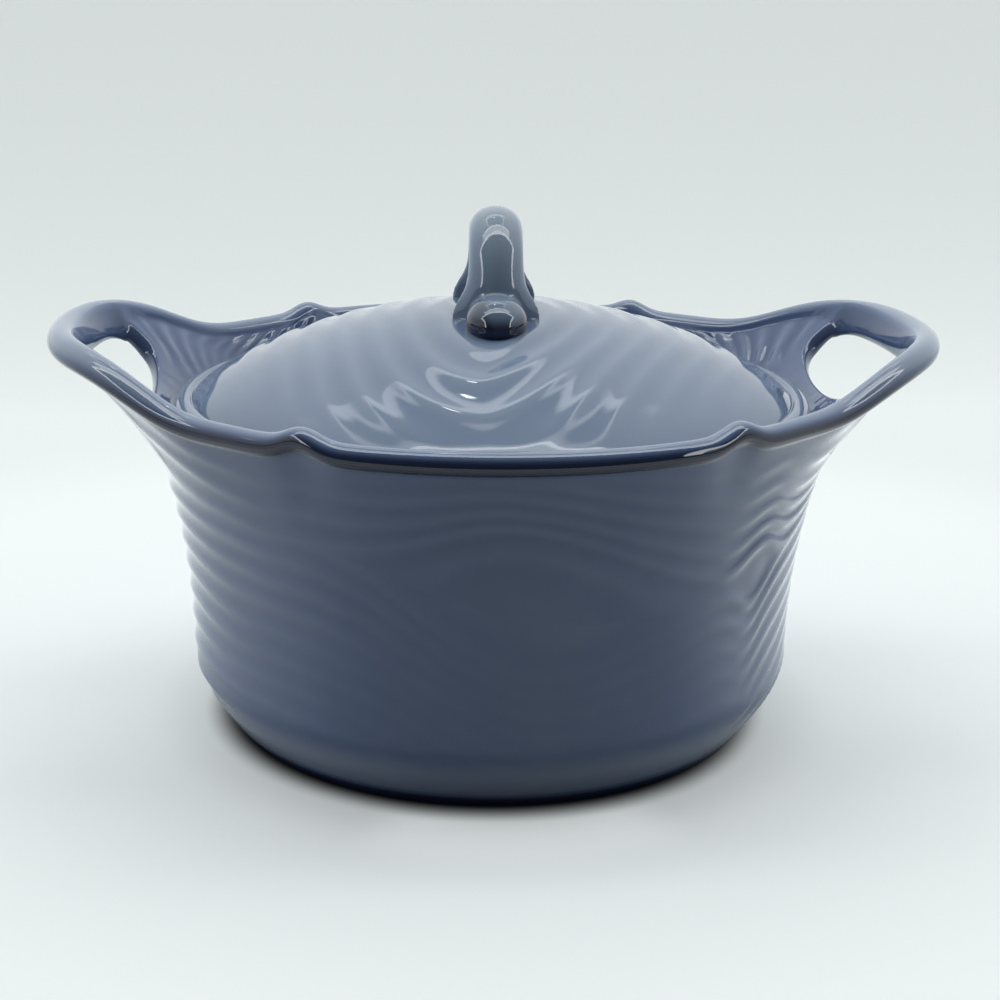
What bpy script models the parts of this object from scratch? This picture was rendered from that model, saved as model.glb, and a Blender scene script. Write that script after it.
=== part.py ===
"""Covered round baking dish in glazed stoneware.

Three pieces: a flared dish whose rim is drawn out into two pierced handles, a domed lid that
sits on a ledge inside the rim, and a looped twig knob luted to the top of the lid.
Metres, +Z up, origin on the table under the middle of the dish, handles along X.
"""

import math

import bmesh
import bpy
from mathutils import Matrix, Vector

# Dish body
FOOT_RADIUS = 0.0940
FOOT_RING_WIDTH = 0.0100
FOOT_RECESS = 0.0015
BELLY_RADIUS = 0.1080
BELLY_HEIGHT = 0.0250
FOOT_TURN_POWER = 1.5
RIM_RADIUS = 0.1275
RIM_HEIGHT = 0.1267
RIM_BEAD_RADIUS = 0.0037
RIM_OVERHANG = 0.0008
BEAD_START = 190
BEAD_END = -40
FLARE_POWER = 2.1
WALL = 0.0060
FLOOR = 0.0070
FLOOR_CORNER_RADIUS = 0.0160

# Ledge inside the rim that carries the lid
LEDGE_BELOW_RIM = 0.0152
LEDGE_WIDTH = 0.0065
LEDGE_THICKNESS = 0.0030
LEDGE_WALL = 0.0070

# Handles drawn out of the rim
RIGHT_HANDLE_REACH = 0.0290
RIGHT_HANDLE_RISE = 0.0140
LEFT_HANDLE_REACH = 0.0258
LEFT_HANDLE_RISE = 0.0165
HANDLE_SPREAD = math.radians(29)
HANDLE_REACH_FALLOFF = 3
HANDLE_RISE_FALLOFF = 5
HANDLE_BELOW_RIM = 0.0320
HANDLE_INSIDE_LIFT_POWER = 0.85
HANDLE_OUTSIDE_REACH_POWER = 1.6
HANDLE_OUTSIDE_LIFT_POWER = 1.3
HANDLE_BEAD_GROWTH = 0.30
HAND_HOLE_SPAN = math.radians(33)
HAND_HOLE_LAND = 0.0078
HAND_HOLE_BAR = 0.0104
HAND_HOLE_EDGE_RADIUS = 0.0030
HAND_HOLE_BAR_SQUARENESS = 4.0
HAND_HOLE_LAND_SQUARENESS = 2.0

# Pinched folds in the rim
FOLD_HEIGHT = 0.0036
FOLD_ANGLE = math.radians(57.4)
FOLD_WIDTH = math.radians(3.6)

# Lid
LID_SIDE_CLEARANCE = 0.0015
LID_SEAT_GAP = 0.0003
LID_FLANGE_THICKNESS = 0.0050
LID_FLANGE_WIDTH = 0.0065
LID_SHOULDER = 0.0012
LID_DOME_HEIGHT = 0.0312
LID_DOME_POWER = 1.74
LID_WALL = 0.0060
LID_SKIRT_DEPTH = 0.0070
LID_SKIRT_WALL = 0.0050
LID_SKIRT_CLEARANCE = 0.0012

# Twig knob
KNOB_HEIGHT = 0.0345
KNOB_SPAN = 0.0400
KNOB_WIDTH = 0.0182
KNOB_THICKNESS = 0.0120
KNOB_ARCH_POWER = 0.8
KNOB_FOOT_WIDTH = 0.0290
KNOB_FOOT_FLARE = 0.0095
KNOB_NOSE_REACH = 0.0220
KNOB_NOSE_WIDTH = 0.0205
KNOB_NOSE_HEIGHT = 0.0075
KNOB_NOSE_LENGTH = 0.0300
KNOB_NOSE_SINK = 0.0010
KNOB_ROOT_DEPTH = 0.0040
KNOB_GAP = 0.0003

# Facets of the curved surfaces
DISH_STEPS = 96
LID_STEPS = 64
CORNER_STEPS = 5
WALL_STEPS = 5
BEAD_STEPS = 7
WING_STEPS = 8
DOME_STEPS = 12
HOLE_POINTS = 40
HOLE_EDGE_STEPS = 7
KNOB_SIDES = 20
KNOB_STATIONS = 24
NOSE_RINGS = 12
CREASE_ANGLE = math.radians(40)
MERGE_DISTANCE = 0.00001

GLAZE = (0.080, 0.107, 0.168, 1.0)
GLAZE_ROUGHNESS = 0.12

LEDGE_HEIGHT = RIM_HEIGHT - LEDGE_BELOW_RIM
HANDLE_START = RIM_HEIGHT - HANDLE_BELOW_RIM
FLOOR_TOP = FOOT_RECESS + FLOOR
BEAD_CENTRE = Vector((RIM_RADIUS - RIM_BEAD_RADIUS, RIM_HEIGHT - RIM_BEAD_RADIUS))


def outer_radius(height):
    """Radius of the dish's outer wall: turned in at the foot, flaring to the rim."""
    if height < BELLY_HEIGHT:
        turn = (1 - height / BELLY_HEIGHT) ** FOOT_TURN_POWER
        return BELLY_RADIUS - (BELLY_RADIUS - FOOT_RADIUS) * turn
    rise = (height - BELLY_HEIGHT) / (RIM_HEIGHT - BELLY_HEIGHT)
    return BELLY_RADIUS + (RIM_RADIUS - RIM_OVERHANG - BELLY_RADIUS) * rise**FLARE_POWER


GALLERY_RADIUS = outer_radius(LEDGE_HEIGHT) - LEDGE_WALL
LEDGE_RADIUS = GALLERY_RADIUS - LEDGE_WIDTH

LID_RADIUS = GALLERY_RADIUS - LID_SIDE_CLEARANCE
LID_SEAT = LEDGE_HEIGHT + LID_SEAT_GAP
LID_DOME_RADIUS = LID_RADIUS - LID_FLANGE_WIDTH
LID_DOME_BASE = LID_SEAT + LID_FLANGE_THICKNESS + LID_SHOULDER
LID_APEX = LID_DOME_BASE + LID_DOME_HEIGHT


def spread(count, low=0.0, high=1.0):
    """Evenly spaced values from low to high, both ends included."""
    return [low + (high - low) * i / (count - 1) for i in range(count)]


def arc(centre, radius, degrees):
    """Points of a circle at the given angles, in radius and height."""
    angles = [math.radians(d) for d in degrees]
    return [(centre[0] + radius * math.cos(a), centre[1] + radius * math.sin(a)) for a in angles]


def handle_pull(azimuth):
    """How far the rim is drawn out and lifted at an azimuth: most on a handle's axis, none in front."""
    away = abs(math.remainder(azimuth, math.pi)) / HANDLE_SPREAD
    reach, rise = RIGHT_HANDLE_REACH, RIGHT_HANDLE_RISE
    if math.cos(azimuth) < 0:
        reach, rise = LEFT_HANDLE_REACH, LEFT_HANDLE_RISE
    return (
        reach * math.exp(-(away**HANDLE_REACH_FALLOFF)),
        rise * math.exp(-(away**HANDLE_RISE_FALLOFF)),
    )


def fold_lift(azimuth):
    """Lift of the pinched folds, a pair on each side of every handle."""
    away = abs(math.remainder(azimuth, math.pi))
    return FOLD_HEIGHT * math.exp(-(((away - FOLD_ANGLE) / FOLD_WIDTH) ** 2))


def dish_section():
    """Half section of the dish clear of the handles, from the floor's middle over the rim to the
    underside's middle. Each station is (radius, height, share drawn outwards, share lifted)."""
    corner_height = FLOOR_TOP + FLOOR_CORNER_RADIUS
    corner_radius = outer_radius(corner_height) - WALL - FLOOR_CORNER_RADIUS
    body = [(0.0, FLOOR_TOP), (corner_radius / 2, FLOOR_TOP)]
    body += arc((corner_radius, corner_height), FLOOR_CORNER_RADIUS, spread(CORNER_STEPS, -90, 0))
    under_ledge = LEDGE_HEIGHT - LEDGE_THICKNESS - LEDGE_WIDTH
    body += [(outer_radius(h) - WALL, h) for h in spread(WALL_STEPS, corner_height, under_ledge)[1:]]
    body += [(LEDGE_RADIUS, LEDGE_HEIGHT - LEDGE_THICKNESS), (LEDGE_RADIUS, LEDGE_HEIGHT)]
    stations = [(r, h, 0.0, 0.0) for r, h in body]

    bead = arc(BEAD_CENTRE, RIM_BEAD_RADIUS, spread(BEAD_STEPS, BEAD_START, BEAD_END))
    gallery = Vector((GALLERY_RADIUS, LEDGE_HEIGHT))
    for way in spread(WING_STEPS)[:-1]:
        point = gallery.lerp(Vector(bead[0]), way)
        stations.append((point.x, point.y, way, way**HANDLE_INSIDE_LIFT_POWER))
    stations += [(r, h, 1.0, 1.0) for r, h in bead]
    bead_foot = bead[-1][1]
    for way in spread(WING_STEPS, 1.0, 0.0)[1:]:
        height = HANDLE_START + (bead_foot - HANDLE_START) * way
        out, up = way**HANDLE_OUTSIDE_REACH_POWER, way**HANDLE_OUTSIDE_LIFT_POWER
        stations.append((outer_radius(height), height, out, up))

    lower = spread(WALL_STEPS, HANDLE_START, BELLY_HEIGHT)[1:]
    lower += spread(CORNER_STEPS, BELLY_HEIGHT, 0.0)[1:]
    body = [(outer_radius(h), h) for h in lower]
    ring_inside = FOOT_RADIUS - FOOT_RING_WIDTH
    body += [(ring_inside, 0.0), (ring_inside - FOOT_RECESS, FOOT_RECESS), (0.0, FOOT_RECESS)]
    return stations + [(r, h, 0.0, 0.0) for r, h in body]


def draw_out(station, azimuth):
    """Place of a section station at an azimuth, with the handle and the folds drawn out of the rim."""
    radius, height, out_share, up_share = station
    reach, rise = handle_pull(azimuth)
    if out_share == 1.0:
        growth = HANDLE_BEAD_GROWTH * reach / RIGHT_HANDLE_REACH
        radius += (radius - BEAD_CENTRE.x) * growth
        height += (height - BEAD_CENTRE.y) * growth
    radius += reach * out_share
    height += (rise + fold_lift(azimuth)) * up_share
    return Vector((radius * math.cos(azimuth), radius * math.sin(azimuth), height))


def wing_middle(azimuth, radius):
    """Height of the middle of the handle's thickness at a plan point, and the wing's slope there."""
    start = Vector((GALLERY_RADIUS + LEDGE_WALL / 2, LEDGE_HEIGHT - LEDGE_THICKNESS))
    end = BEAD_CENTRE + Vector(handle_pull(azimuth))
    slope = (end.y - start.y) / (end.x - start.x)
    return start.y + slope * (radius - start.x), math.atan(slope)


def hand_hole_outline(angle):
    """Point of the hand hole's outline in a unit square: square beside the bar, round beside the lid."""
    along, across = math.cos(angle), math.sin(angle)
    power = 2 / (HAND_HOLE_BAR_SQUARENESS if across > 0 else HAND_HOLE_LAND_SQUARENESS)
    return math.copysign(abs(along) ** power, along), math.copysign(abs(across) ** power, across)


def hand_hole_rings(handle):
    """Outlines of a handle's hole from its underside up: waisted, so that its edges are round, with
    level ends clear of the handle. The handle is given by its azimuth."""
    land = GALLERY_RADIUS + HAND_HOLE_LAND
    bar = RIM_RADIUS + handle_pull(handle)[0] - HAND_HOLE_BAR
    rings = []
    for turn in spread(HOLE_EDGE_STEPS, -math.pi / 2, math.pi / 2):
        depth = HAND_HOLE_EDGE_RADIUS * math.sin(turn)
        opening = HAND_HOLE_EDGE_RADIUS * (1 - math.cos(turn))
        ring = []
        for i in range(HOLE_POINTS):
            along, across = hand_hole_outline(2 * math.pi * i / HOLE_POINTS)
            under_land = across < 0 and depth < 0
            radius = (land + bar) / 2 + across * ((bar - land) / 2 + (0.0 if under_land else opening))
            azimuth = handle + along * (HAND_HOLE_SPAN / 2 + opening / radius)
            height, slope = wing_middle(azimuth, radius)
            radius -= depth * math.sin(slope)
            height += depth * math.cos(slope)
            ring.append(Vector((radius * math.cos(azimuth), radius * math.sin(azimuth), height)))
        rings.append(ring)
    low = min(point.z for point in rings[0]) - RIM_BEAD_RADIUS
    high = max(point.z for point in rings[-1]) + RIM_BEAD_RADIUS
    below = [Vector((point.x, point.y, low)) for point in rings[0]]
    above = [Vector((point.x, point.y, high)) for point in rings[-1]]
    return [below, *rings, above]


def dome_section(radius, base, top):
    """Section of a dome from its middle to its edge."""
    angles = spread(DOME_STEPS, 0, math.pi / 2)
    return [(radius * math.sin(a), base + (top - base) * math.cos(a) ** LID_DOME_POWER) for a in angles]


def lid_section():
    """Half section of the lid, from the dome's middle round the flange and skirt to the inside."""
    half = LID_FLANGE_THICKNESS / 2
    skirt = LEDGE_RADIUS - LID_SKIRT_CLEARANCE
    skirt_low = LID_SEAT - LID_SKIRT_DEPTH
    skirt_round = LID_SKIRT_WALL / 2
    section = dome_section(LID_DOME_RADIUS, LID_DOME_BASE, LID_APEX)
    section += arc((LID_RADIUS - half, LID_SEAT + half), half, spread(CORNER_STEPS, 90, -90))
    section += [(skirt, LID_SEAT)]
    section += arc((skirt - skirt_round, skirt_low + skirt_round), skirt_round, spread(CORNER_STEPS, 0, -180))
    inside = dome_section(skirt - LID_SKIRT_WALL, LID_SEAT, LID_APEX - LID_WALL)
    return section + inside[::-1]


def new_object(name, mesh, collection, material=None):
    """Adds a mesh to a collection as a named object, shaded smooth."""
    mesh.shade_smooth()
    mesh.set_sharp_from_angle(angle=CREASE_ANGLE)
    item = bpy.data.objects.new(name, mesh)
    collection.objects.link(item)
    if material:
        mesh.materials.append(material)
    return item


def mesh_from(shape, name):
    """Closes a bmesh into a mesh with its faces pointing out."""
    bmesh.ops.remove_doubles(shape, verts=shape.verts, dist=MERGE_DISTANCE)
    bmesh.ops.recalc_face_normals(shape, faces=shape.faces)
    mesh = bpy.data.meshes.new(name)
    shape.to_mesh(mesh)
    shape.free()
    return mesh


def stacked_rings(rings, name):
    """Mesh of closed rings joined one after the other, with both ends capped."""
    shape = bmesh.new()
    ring = [shape.verts.new(point) for point in rings[0]]
    edges = [shape.edges.new((ring[i - 1], ring[i])) for i in range(len(ring))]
    bmesh.ops.contextual_create(shape, geom=edges)
    for points in rings[1:]:
        made = bmesh.ops.extrude_edge_only(shape, edges=edges)["geom"]
        edges = [part for part in made if isinstance(part, bmesh.types.BMEdge) and part.is_boundary]
        raised = [part for part in made if isinstance(part, bmesh.types.BMVert)]
        for vertex, point in zip(raised, points):
            vertex.co = point
    bmesh.ops.contextual_create(shape, geom=edges)
    return mesh_from(shape, name)


def turned(name, section, steps, collection, material=None):
    """Object turned about Z from a half section that runs down its outer side."""
    mesh = bpy.data.meshes.new(name)
    edges = [(i, i + 1) for i in range(len(section) - 1)]
    mesh.from_pydata([(r, 0.0, h) for r, h in section], edges, [])
    item = bpy.data.objects.new(name, mesh)
    collection.objects.link(item)
    if material:
        mesh.materials.append(material)
    screw = item.modifiers.new("turn", "SCREW")
    screw.steps = steps
    screw.render_steps = steps
    screw.use_merge_vertices = True
    screw.merge_threshold = MERGE_DISTANCE
    return item


def glaze(name):
    """Slate blue gloss glaze."""
    material = bpy.data.materials.new(name)
    material.use_nodes = True
    shader = material.node_tree.nodes["Principled BSDF"]
    shader.inputs["Base Color"].default_value = GLAZE
    shader.inputs["Roughness"].default_value = GLAZE_ROUGHNESS
    shader.inputs["Metallic"].default_value = 0.0
    return material


def cut(item, cutter, operation="DIFFERENCE"):
    """Cuts or joins another object into an item."""
    boolean = item.modifiers.new(f"{operation.lower()} {cutter.name}", "BOOLEAN")
    boolean.operation = operation
    boolean.object = cutter
    cutter.hide_render = True
    cutter.display_type = "WIRE"


def build_dish(parts, cutters):
    """The dish: its section swept round, drawn out into handles and pierced by two hand holes."""
    section = dish_section()
    shape = bmesh.new()
    place = shape.verts.layers.int.new("station")
    line = []
    for i, (radius, height, _, _) in enumerate(section):
        vertex = shape.verts.new((radius, 0.0, height))
        vertex[place] = i
        line.append(vertex)
    edges = [shape.edges.new(pair) for pair in zip(line, line[1:])]
    bmesh.ops.spin(
        shape,
        geom=line + edges,
        axis=(0, 0, 1),
        angle=2 * math.pi,
        steps=DISH_STEPS,
        use_merge=True,
    )
    for vertex in shape.verts:
        vertex.co = draw_out(section[vertex[place]], math.atan2(vertex.co.y, vertex.co.x))
    dish = new_object("dish", mesh_from(shape, "dish"), parts, glaze("dish glaze"))

    for side, handle in (("right", 0.0), ("left", math.pi)):
        hole = stacked_rings(hand_hole_rings(handle), f"hand hole {side}")
        cut(dish, new_object(f"hand_hole_{side}", hole, cutters))
    return dish


def knob_ring(way):
    """Cross-section of the knob's arch: way runs from the front foot, 0, to the rear foot, 1."""
    angle = math.pi * way
    half_span = KNOB_SPAN / 2
    crown = KNOB_HEIGHT - KNOB_THICKNESS / 2 + KNOB_ROOT_DEPTH
    centre = Vector((0, -half_span * math.cos(angle), crown * math.sin(angle) ** KNOB_ARCH_POWER))
    along = Vector((0, half_span * math.sin(angle), crown * math.cos(angle)))
    tilt = math.atan2(along.z, along.y)
    above = max(0.0, centre.z - KNOB_ROOT_DEPTH)
    flare = math.exp(-((above / KNOB_FOOT_FLARE) ** 2))
    half_width = KNOB_WIDTH / 2 + (KNOB_FOOT_WIDTH - KNOB_WIDTH) / 2 * flare
    middle = centre + Vector((0, 0, LID_APEX - KNOB_ROOT_DEPTH))
    ring = []
    for i in range(KNOB_SIDES):
        turn = 2 * math.pi * i / KNOB_SIDES
        lift = KNOB_THICKNESS / 2 * math.sin(turn)
        offset = Vector((half_width * math.cos(turn), -lift * math.sin(tilt), lift * math.cos(tilt)))
        ring.append(middle + offset)
    return ring


def build_knob(parts, cutters):
    """The knob: a twig arched from front to back, its feet splayed, with a rounded nose on each."""
    knob = new_object(
        "lid_knob",
        stacked_rings([knob_ring(way) for way in spread(KNOB_STATIONS)], "lid_knob"),
        parts,
        glaze("knob glaze"),
    )
    for side, name in ((-1, "front"), (1, "rear")):
        shape = bmesh.new()
        bmesh.ops.create_uvsphere(shape, u_segments=KNOB_SIDES, v_segments=NOSE_RINGS, radius=0.5)
        tip = KNOB_SPAN / 2 + KNOB_NOSE_REACH
        place = Vector((0, side * (tip - KNOB_NOSE_LENGTH / 2), LID_APEX - KNOB_NOSE_SINK))
        rise = KNOB_NOSE_HEIGHT + KNOB_NOSE_SINK
        size = Matrix.Diagonal((KNOB_NOSE_WIDTH, KNOB_NOSE_LENGTH, 2 * rise, 1))
        bmesh.ops.transform(shape, matrix=Matrix.Translation(place) @ size, verts=shape.verts)
        nose = new_object(f"nose_{name}", mesh_from(shape, f"nose {name}"), cutters)
        cut(knob, nose, "UNION")
    section = dome_section(LID_DOME_RADIUS, LID_DOME_BASE + KNOB_GAP, LID_APEX + KNOB_GAP)
    section += [(LID_DOME_RADIUS, 0.0), (0.0, 0.0)]
    seat = turned("knob_seat", section, LID_STEPS, cutters)
    cut(knob, seat)
    return knob


def main():
    for item in list(bpy.data.objects):
        bpy.data.objects.remove(item)
    parts = bpy.data.collections.new("covered_baking_dish")
    cutters = bpy.data.collections.new("cutters")
    bpy.context.scene.collection.children.link(parts)
    bpy.context.scene.collection.children.link(cutters)

    build_dish(parts, cutters)
    lift = bpy.data.objects.new("lid_lift_axis", None)
    parts.objects.link(lift)
    lid = turned("lid", lid_section(), LID_STEPS, parts, glaze("lid glaze"))
    knob = build_knob(parts, cutters)
    lid.parent = lift
    knob.parent = lift


main()
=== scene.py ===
"""Covered baking dish in slate blue gloss-glazed stoneware: dish, lid and twig knob, dressed on their CAD frame."""

import math

import bmesh
import bpy
import numpy as np
from mathutils import Matrix, Vector


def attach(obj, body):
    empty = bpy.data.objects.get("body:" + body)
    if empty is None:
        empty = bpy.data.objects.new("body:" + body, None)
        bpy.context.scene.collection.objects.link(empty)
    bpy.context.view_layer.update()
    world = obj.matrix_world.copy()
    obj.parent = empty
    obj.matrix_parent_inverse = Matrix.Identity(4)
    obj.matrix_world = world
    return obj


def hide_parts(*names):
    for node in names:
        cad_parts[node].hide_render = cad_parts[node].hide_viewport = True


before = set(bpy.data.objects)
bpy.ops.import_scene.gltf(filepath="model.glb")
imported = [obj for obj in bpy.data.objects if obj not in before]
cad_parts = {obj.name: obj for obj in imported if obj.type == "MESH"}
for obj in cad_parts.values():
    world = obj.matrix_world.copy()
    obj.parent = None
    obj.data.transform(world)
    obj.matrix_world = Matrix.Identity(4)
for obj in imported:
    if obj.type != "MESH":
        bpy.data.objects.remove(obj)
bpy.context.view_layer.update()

MM = 0.001

# The dish's section and handles, in metres, as in the part's source.
FOOT_RADIUS = 0.0940
FOOT_RING_WIDTH = 0.0100
FOOT_RECESS = 0.0015
BELLY_RADIUS = 0.1080
BELLY_HEIGHT = 0.0250
FOOT_TURN_POWER = 1.5
RIM_RADIUS = 0.1275
RIM_HEIGHT = 0.1267
RIM_OVERHANG = 0.0008
FLARE_POWER = 2.1
WALL = 0.0060
FLOOR = 0.0070
FLOOR_CORNER_RADIUS = 0.0160
LEDGE_BELOW_RIM = 0.0152
LEDGE_WIDTH = 0.0065
LEDGE_THICKNESS = 0.0030
LEDGE_WALL = 0.0070
RIGHT_HANDLE_REACH = 0.0290
RIGHT_HANDLE_RISE = 0.0140
LEFT_HANDLE_REACH = 0.0258
LEFT_HANDLE_RISE = 0.0165
HANDLE_SPREAD = math.radians(29)
HANDLE_REACH_FALLOFF = 3
HANDLE_RISE_FALLOFF = 5
HANDLE_BELOW_RIM = 0.0320
HANDLE_INSIDE_LIFT_POWER = 0.85
HANDLE_OUTSIDE_REACH_POWER = 1.6
HANDLE_OUTSIDE_LIFT_POWER = 1.3
HANDLE_BEAD_GROWTH = 0.30
HAND_HOLE_SPAN = math.radians(33)
HAND_HOLE_LAND = 0.0078
HAND_HOLE_BAR = 0.0112
HAND_HOLE_EDGE_RADIUS = 0.0030
HAND_HOLE_BAR_SQUARENESS = 4.0
HAND_HOLE_LAND_SQUARENESS = 2.0
FOLD_HEIGHT = 0.0036
FOLD_ANGLE = math.radians(57.4)
FOLD_WIDTH = math.radians(3.6)

# The lid and its knob, in metres, as in the part's source.
LID_SIDE_CLEARANCE = 0.0015
LID_SEAT_GAP = 0.0003
LID_FLANGE_THICKNESS = 0.0050
LID_FLANGE_WIDTH = 0.0065
LID_SHOULDER = 0.0012
LID_DOME_HEIGHT = 0.0312
LID_DOME_POWER = 1.74
LID_WALL = 0.0060
LID_SKIRT_DEPTH = 0.0070
LID_SKIRT_WALL = 0.0050
LID_SKIRT_CLEARANCE = 0.0012
KNOB_HEIGHT = 0.0345
KNOB_SPAN = 0.0400
KNOB_ARCH_POWER = 0.8
KNOB_NOSE_SINK = 0.0010
KNOB_ROOT_DEPTH = 0.0040

LEDGE_HEIGHT = RIM_HEIGHT - LEDGE_BELOW_RIM
HANDLE_START = RIM_HEIGHT - HANDLE_BELOW_RIM
FLOOR_TOP = FOOT_RECESS + FLOOR

# The glaze rounds the rim's bead out to a slightly fuller, taller lip.
LIP_RADIUS = 0.0040
LIP_RISE = 0.0011
BEAD_CENTRE = (RIM_RADIUS - LIP_RADIUS, RIM_HEIGHT + LIP_RISE - LIP_RADIUS)
# Its run in degrees, from the inside over the crest to the outside.
BEAD_START = 190
BEAD_END = -40


def outer_radius(height):
    """Radius of the dish's outer wall: turned in at the foot, flaring to the rim."""
    if height < BELLY_HEIGHT:
        turn = (1 - height / BELLY_HEIGHT) ** FOOT_TURN_POWER
        return BELLY_RADIUS - (BELLY_RADIUS - FOOT_RADIUS) * turn
    rise = (height - BELLY_HEIGHT) / (RIM_HEIGHT - BELLY_HEIGHT)
    return BELLY_RADIUS + (RIM_RADIUS - RIM_OVERHANG - BELLY_RADIUS) * rise**FLARE_POWER


GALLERY_RADIUS = outer_radius(LEDGE_HEIGHT) - LEDGE_WALL
LEDGE_RADIUS = GALLERY_RADIUS - LEDGE_WIDTH
LID_RADIUS = GALLERY_RADIUS - LID_SIDE_CLEARANCE
LID_SEAT = LEDGE_HEIGHT + LID_SEAT_GAP
LID_DOME_RADIUS = LID_RADIUS - LID_FLANGE_WIDTH
LID_DOME_BASE = LID_SEAT + LID_FLANGE_THICKNESS + LID_SHOULDER
LID_APEX = LID_DOME_BASE + LID_DOME_HEIGHT

# How finely the clay is drawn.
DISH_STEPS = 600
FINE_CUTS = 4
LID_STEPS = 480
FLOOR_STATIONS = 5
CORNER_STATIONS = 7
INNER_WALL_STATIONS = 14
GALLERY_STATIONS = 20
BEAD_STATIONS = 15
WING_STATIONS = 26
OUTER_WALL_STATIONS = 62
FOOT_STATIONS = 18
EASE_STEPS = 3
DOME_STATIONS = 84
LID_ROLL_STATIONS = 15
LID_SKIRT_STATIONS = 9
LID_INSIDE_STATIONS = 24
MERGE_DISTANCE = 0.01 * MM

# The glaze also rounds the lid's edge into a soft roll, from this angle down, and eases every other edge.
LID_ROLL_WIDTH = 8.8 * MM
LID_ROLL_HEIGHT = 7.2 * MM
LID_ROLL_START = 112
EDGE_EASE = 1.1 * MM

# The patch of grid round each hand hole, counted in grid steps from the hole's middle.
HOLE_ALONG = 36
HOLE_ACROSS = 12
HOLE_EDGE_SHARE = 0.75
HOLE_WALL_RINGS = 8


def spread(count, low=0.0, high=1.0):
    """Evenly spaced values from low to high, both ends included."""
    return [low + (high - low) * i / (count - 1) for i in range(count)]


def arc(centre, radius, degrees):
    """Section points of a circle at the given angles."""
    angles = [math.radians(d) for d in degrees]
    return [(centre[0] + radius * math.cos(a), centre[1] + radius * math.sin(a)) for a in angles]


def eased(corners, radius):
    """A run of section points with each corner between its ends rounded."""
    corners = [Vector(corner) for corner in corners]
    path = [corners[0]]
    for before, corner, after in zip(corners, corners[1:], corners[2:]):
        back = (before - corner).normalized()
        on = (after - corner).normalized()
        half = back.angle(on) / 2
        centre = corner + (back + on).normalized() * radius / math.sin(half)
        start = corner + back * radius / math.tan(half) - centre
        end = corner + on * radius / math.tan(half) - centre
        path += [centre + start.slerp(end, way) * radius for way in spread(EASE_STEPS + 1)]
    return [tuple(point) for point in path + [corners[-1]]]


class Section:
    """Half section of a turned piece: its stations, and the run of stations that each region takes."""

    def __init__(self):
        self.stations = []
        self.runs = {}

    def add(self, region, points, shares=None):
        """Adds a region's points, with the share of the handle's reach and rise that each one takes."""
        start = len(self.stations)
        shares = shares or [(0.0, 0.0)] * len(points)
        self.stations += [(*point, *share) for point, share in zip(points, shares)]
        self.runs[region] = (start, len(self.stations))

    def table(self):
        """Columns radius, height, share of the reach and share of the rise."""
        return np.array(self.stations).T


def dish_section():
    """The dish from the floor's middle up the inside, over the rim and down to the underside's middle."""
    section = Section()
    corner_height = FLOOR_TOP + FLOOR_CORNER_RADIUS
    corner_radius = outer_radius(corner_height) - WALL - FLOOR_CORNER_RADIUS
    inside = [(r, FLOOR_TOP) for r in spread(FLOOR_STATIONS, 0.0, corner_radius)[:-1]]
    inside += arc((corner_radius, corner_height), FLOOR_CORNER_RADIUS, spread(CORNER_STATIONS, -90, 0))
    under_ledge = LEDGE_HEIGHT - LEDGE_THICKNESS - LEDGE_WIDTH
    inside += [(outer_radius(h) - WALL, h) for h in spread(INNER_WALL_STATIONS, corner_height, under_ledge)[1:-1]]
    section.add("inside", inside)

    ledge = [
        (outer_radius(under_ledge) - WALL, under_ledge),
        (LEDGE_RADIUS, LEDGE_HEIGHT - LEDGE_THICKNESS),
        (LEDGE_RADIUS, LEDGE_HEIGHT),
        (GALLERY_RADIUS, LEDGE_HEIGHT),
    ]
    section.add("ledge", eased(ledge, EDGE_EASE))

    bead = arc(BEAD_CENTRE, LIP_RADIUS, spread(BEAD_STATIONS, BEAD_START, BEAD_END))
    gallery = Vector((GALLERY_RADIUS, LEDGE_HEIGHT))
    ways = spread(GALLERY_STATIONS + 1)[1:-1]
    section.add(
        "gallery",
        [tuple(gallery.lerp(Vector(bead[0]), way)) for way in ways],
        [(way, way**HANDLE_INSIDE_LIFT_POWER) for way in ways],
    )
    section.add("bead", bead, [(1.0, 1.0)] * len(bead))
    ways = spread(WING_STATIONS + 1, 1.0, 0.0)[1:]
    heights = [HANDLE_START + (bead[-1][1] - HANDLE_START) * way for way in ways]
    section.add(
        "wing",
        [(outer_radius(h), h) for h in heights],
        [(way**HANDLE_OUTSIDE_REACH_POWER, way**HANDLE_OUTSIDE_LIFT_POWER) for way in ways],
    )

    heights = spread(OUTER_WALL_STATIONS, HANDLE_START, BELLY_HEIGHT)[1:]
    heights += spread(FOOT_STATIONS, BELLY_HEIGHT, EDGE_EASE)[1:]
    section.add("wall", [(outer_radius(h), h) for h in heights])
    ring_inside = FOOT_RADIUS - FOOT_RING_WIDTH
    foot = [
        (outer_radius(EDGE_EASE), EDGE_EASE),
        (FOOT_RADIUS, 0.0),
        (ring_inside, 0.0),
    ]
    section.add("foot", eased(foot, EDGE_EASE)[1:])
    section.add("base", [(radius, FOOT_RECESS) for radius in (ring_inside - FOOT_RECESS, ring_inside / 2, 0.0)])
    return section


def handle_pull(azimuth):
    """How far the rim is drawn out and lifted: most on a handle's axis, none in front."""
    away = np.abs(azimuth - np.pi * np.round(azimuth / np.pi)) / HANDLE_SPREAD
    left = np.cos(azimuth) < 0
    reach = np.where(left, LEFT_HANDLE_REACH, RIGHT_HANDLE_REACH)
    rise = np.where(left, LEFT_HANDLE_RISE, RIGHT_HANDLE_RISE)
    return reach * np.exp(-(away**HANDLE_REACH_FALLOFF)), rise * np.exp(-(away**HANDLE_RISE_FALLOFF))


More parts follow.
